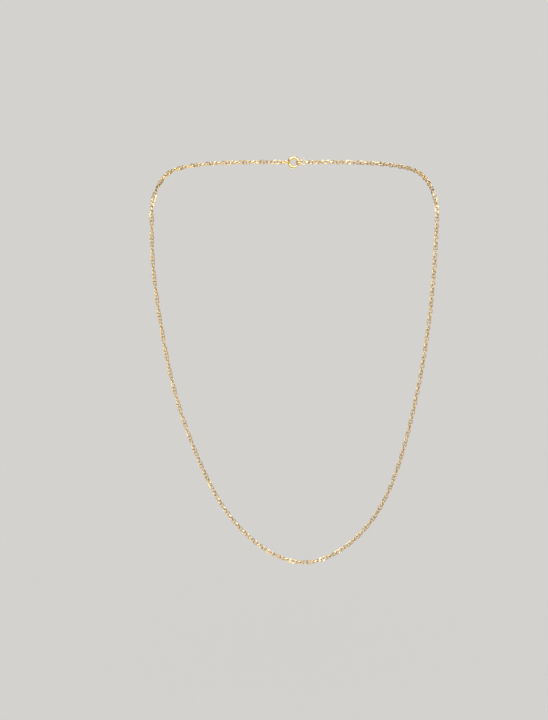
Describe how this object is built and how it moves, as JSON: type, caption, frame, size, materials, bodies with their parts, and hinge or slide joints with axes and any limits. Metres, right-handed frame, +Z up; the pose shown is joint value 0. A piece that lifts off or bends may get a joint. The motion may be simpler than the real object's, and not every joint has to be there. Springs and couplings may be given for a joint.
{
  "type": "chain necklace",
  "caption": "Fine gold-coloured necklace of twisted curb links, closed at the nape by a spring ring clasp, hanging as worn.",
  "frame": {"origin": "midway between the two arms in the plane that the front hangs in, level with the chain's highest stretch; this is the middle of the neck that it hangs on", "axes": "+Z up, +X towards the wearer's left, -Y the way the wearer faces"},
  "size_m": [0.1384, 0.0489, 0.2019],
  "materials": {
    "chain_gold": "polished and diamond-cut gold plating",
    "ring_gold": "polished gold plating",
    "clasp_gold": "polished gold plating",
    "spring_steel": "drawn spring wire"
  },
  "bodies": {
    "shoulders": {"right_shoulder": "chain_gold", "left_shoulder": "chain_gold"},
    "right_back_3": {"right_back_3": "chain_gold"},
    "right_back_2": {"right_back_2": "chain_gold"},
    "right_back_1": {"right_back_1": "chain_gold"},
    "right_front_01": {"right_front_01": "chain_gold"},
    "right_front_02": {"right_front_02": "chain_gold"},
    "right_front_03": {"right_front_03": "chain_gold"},
    "right_front_04": {"right_front_04": "chain_gold"},
    "right_front_05": {"right_front_05": "chain_gold"},
    "right_front_06": {"right_front_06": "chain_gold"},
    "right_front_07": {"right_front_07": "chain_gold"},
    "right_front_08": {"right_front_08": "chain_gold"},
    "right_front_09": {"right_front_09": "chain_gold"},
    "right_front_10": {"right_front_10": "chain_gold"},
    "right_front_11": {"right_front_11": "chain_gold"},
    "front_bottom": {"front_bottom": "chain_gold"},
    "left_front_11": {"left_front_11": "chain_gold"},
    "left_front_10": {"left_front_10": "chain_gold"},
    "left_front_09": {"left_front_09": "chain_gold"},
    "left_front_08": {"left_front_08": "chain_gold"},
    "left_front_07": {"left_front_07": "chain_gold"},
    "left_front_06": {"left_front_06": "chain_gold"},
    "left_front_05": {"left_front_05": "chain_gold"},
    "left_front_04": {"left_front_04": "chain_gold"},
    "left_front_03": {"left_front_03": "chain_gold"},
    "left_front_02": {"left_front_02": "chain_gold"},
    "left_front_01": {"left_front_01": "chain_gold"},
    "left_back_1": {"left_back_1": "chain_gold"},
    "left_back_2": {"left_back_2": "chain_gold"},
    "left_back_3": {"left_back_3": "chain_gold"},
    "clasp_jump_ring": {"clasp_jump_ring": "ring_gold"},
    "end_jump_ring": {"end_jump_ring": "ring_gold"},
    "hooked_ring": {"hooked_ring": "ring_gold"},
    "clasp": {"clasp_tube": "clasp_gold", "clasp_eyelet": "clasp_gold", "latch_spring": "spring_steel"},
    "latch": {"latch": "clasp_gold", "latch_knob": "clasp_gold"}
  },
  "joints": [
    {"name": "right_fold_01", "type": "hinge", "parent": "shoulders", "child": "right_front_01", "pos_m": [0, 0, -0.023], "axis": [1, 0, 0], "range_deg": [-15, 15]},
    {"name": "right_fold_02", "type": "hinge", "parent": "right_front_01", "child": "right_front_02", "pos_m": [0, 0, -0.037], "axis": [1, 0, 0], "range_deg": [-15, 15]},
    {"name": "right_fold_03", "type": "hinge", "parent": "right_front_02", "child": "right_front_03", "pos_m": [0, 0, -0.0527], "axis": [1, 0, 0], "range_deg": [-15, 15]},
    {"name": "right_fold_04", "type": "hinge", "parent": "right_front_03", "child": "right_front_04", "pos_m": [0, 0, -0.0684], "axis": [1, 0, 0], "range_deg": [-15, 15]},
    {"name": "right_fold_05", "type": "hinge", "parent": "right_front_04", "child": "right_front_05", "pos_m": [0, 0, -0.0823], "axis": [1, 0, 0], "range_deg": [-15, 15]},
    {"name": "right_fold_06", "type": "hinge", "parent": "right_front_05", "child": "right_front_06", "pos_m": [0, 0, -0.1013], "axis": [1, 0, 0], "range_deg": [-15, 15]},
    {"name": "right_fold_07", "type": "hinge", "parent": "right_front_06", "child": "right_front_07", "pos_m": [0, 0, -0.1167], "axis": [1, 0, 0], "range_deg": [-15, 15]},
    {"name": "right_fold_08", "type": "hinge", "parent": "right_front_07", "child": "right_front_08", "pos_m": [0, 0, -0.1353], "axis": [1, 0, 0], "range_deg": [-15, 15]},
    {"name": "right_fold_09", "type": "hinge", "parent": "right_front_08", "child": "right_front_09", "pos_m": [0, 0, -0.1535], "axis": [1, 0, 0], "range_deg": [-15, 15]},
    {"name": "right_fold_10", "type": "hinge", "parent": "right_front_09", "child": "right_front_10", "pos_m": [0, 0, -0.1708], "axis": [1, 0, 0], "range_deg": [-15, 15]},
    {"name": "right_fold_11", "type": "hinge", "parent": "right_front_10", "child": "right_front_11", "pos_m": [0, 0, -0.1858], "axis": [1, 0, 0], "range_deg": [-15, 15]},
    {"name": "left_fold_01", "type": "hinge", "parent": "shoulders", "child": "left_front_01", "pos_m": [0, 0, -0.023], "axis": [1, 0, 0], "range_deg": [-15, 15]},
    {"name": "left_fold_02", "type": "hinge", "parent": "left_front_01", "child": "left_front_02", "pos_m": [0, 0, -0.037], "axis": [1, 0, 0], "range_deg": [-15, 15]},
    {"name": "left_fold_03", "type": "hinge", "parent": "left_front_02", "child": "left_front_03", "pos_m": [0, 0, -0.0527], "axis": [1, 0, 0], "range_deg": [-15, 15]},
    {"name": "left_fold_04", "type": "hinge", "parent": "left_front_03", "child": "left_front_04", "pos_m": [0, 0, -0.0684], "axis": [1, 0, 0], "range_deg": [-15, 15]},
    {"name": "left_fold_05", "type": "hinge", "parent": "left_front_04", "child": "left_front_05", "pos_m": [0, 0, -0.0823], "axis": [1, 0, 0], "range_deg": [-15, 15]},
    {"name": "left_fold_06", "type": "hinge", "parent": "left_front_05", "child": "left_front_06", "pos_m": [0, 0, -0.1013], "axis": [1, 0, 0], "range_deg": [-15, 15]},
    {"name": "left_fold_07", "type": "hinge", "parent": "left_front_06", "child": "left_front_07", "pos_m": [0, 0, -0.1167], "axis": [1, 0, 0], "range_deg": [-15, 15]},
    {"name": "left_fold_08", "type": "hinge", "parent": "left_front_07", "child": "left_front_08", "pos_m": [0, 0, -0.1353], "axis": [1, 0, 0], "range_deg": [-15, 15]},
    {"name": "left_fold_09", "type": "hinge", "parent": "left_front_08", "child": "left_front_09", "pos_m": [0, 0, -0.1535], "axis": [1, 0, 0], "range_deg": [-15, 15]},
    {"name": "left_fold_10", "type": "hinge", "parent": "left_front_09", "child": "left_front_10", "pos_m": [0, 0, -0.1708], "axis": [1, 0, 0], "range_deg": [-15, 15]},
    {"name": "left_fold_11", "type": "hinge", "parent": "left_front_10", "child": "left_front_11", "pos_m": [0, 0, -0.1858], "axis": [1, 0, 0], "range_deg": [-15, 15]},
    {"name": "bottom_fold", "type": "hinge", "parent": "right_front_11", "child": "front_bottom", "pos_m": [0, 0, -0.1965], "axis": [1, 0, 0], "range_deg": [-15, 15]},
    {"name": "right_back_fold_1", "type": "hinge", "parent": "shoulders", "child": "right_back_1", "pos_m": [0, 0.03158, -0.00012], "axis": [1, 0, 0], "range_deg": [0, 15]},
    {"name": "right_back_fold_2", "type": "hinge", "parent": "right_back_1", "child": "right_back_2", "pos_m": [0, 0.03926, -0.00006], "axis": [1, 0, 0], "range_deg": [0, 15]},
    {"name": "right_back_fold_3", "type": "hinge", "parent": "right_back_2", "child": "right_back_3", "pos_m": [0, 0.04381, -0.00037], "axis": [1, 0, 0], "range_deg": [0, 15]},
    {"name": "left_back_fold_1", "type": "hinge", "parent": "shoulders", "child": "left_back_1", "pos_m": [0, 0.03158, -0.00012], "axis": [1, 0, 0], "range_deg": [0, 15]},
    {"name": "left_back_fold_2", "type": "hinge", "parent": "left_back_1", "child": "left_back_2", "pos_m": [0, 0.03926, -0.00006], "axis": [1, 0, 0], "range_deg": [0, 15]},
    {"name": "left_back_fold_3", "type": "hinge", "parent": "left_back_2", "child": "left_back_3", "pos_m": [0, 0.04381, -0.00037], "axis": [1, 0, 0], "range_deg": [0, 15]},
    {"name": "clasp_ring_swing", "type": "hinge", "parent": "right_back_3", "child": "clasp_jump_ring", "pos_m": [0, 0.046, -0.0008], "axis": [1, 0, 0], "range_deg": [-30, 30]},
    {"name": "end_ring_swing", "type": "hinge", "parent": "left_back_3", "child": "end_jump_ring", "pos_m": [0, 0.046, -0.0008], "axis": [1, 0, 0], "range_deg": [-30, 30]},
    {"name": "clasp_swing", "type": "hinge", "parent": "clasp_jump_ring", "child": "clasp", "pos_m": [0, 0.046, -0.0008], "axis": [1, 0, 0], "range_deg": [-30, 30]},
    {"name": "hooked_ring_swing", "type": "hinge", "parent": "end_jump_ring", "child": "hooked_ring", "pos_m": [0, 0.046, -0.0008], "axis": [1, 0, 0], "range_deg": [-30, 30]},
    {"name": "latch_slide", "type": "hinge", "parent": "clasp", "child": "latch", "pos_m": [0.00012, 0.046, -0.0008], "axis": [0, 1, 0], "range_deg": [0, 50], "stiffness_Nm_per_rad": 0.0027, "springref_deg": -17.19, "deforming": ["latch_spring"]}
  ],
  "couplings": [
    {"joint": "left_fold_01", "follows": "right_fold_01", "ratio": 1},
    {"joint": "left_fold_02", "follows": "right_fold_02", "ratio": 1},
    {"joint": "left_fold_03", "follows": "right_fold_03", "ratio": 1},
    {"joint": "left_fold_04", "follows": "right_fold_04", "ratio": 1},
    {"joint": "left_fold_05", "follows": "right_fold_05", "ratio": 1},
    {"joint": "left_fold_06", "follows": "right_fold_06", "ratio": 1},
    {"joint": "left_fold_07", "follows": "right_fold_07", "ratio": 1},
    {"joint": "left_fold_08", "follows": "right_fold_08", "ratio": 1},
    {"joint": "left_fold_09", "follows": "right_fold_09", "ratio": 1},
    {"joint": "left_fold_10", "follows": "right_fold_10", "ratio": 1},
    {"joint": "left_fold_11", "follows": "right_fold_11", "ratio": 1},
    {"joint": "left_back_fold_1", "follows": "right_back_fold_1", "ratio": 1},
    {"joint": "left_back_fold_2", "follows": "right_back_fold_2", "ratio": 1},
    {"joint": "left_back_fold_3", "follows": "right_back_fold_3", "ratio": 1},
    {"joint": "end_ring_swing", "follows": "clasp_ring_swing", "ratio": 1},
    {"joint": "hooked_ring_swing", "follows": "clasp_swing", "ratio": 1}
  ]
}
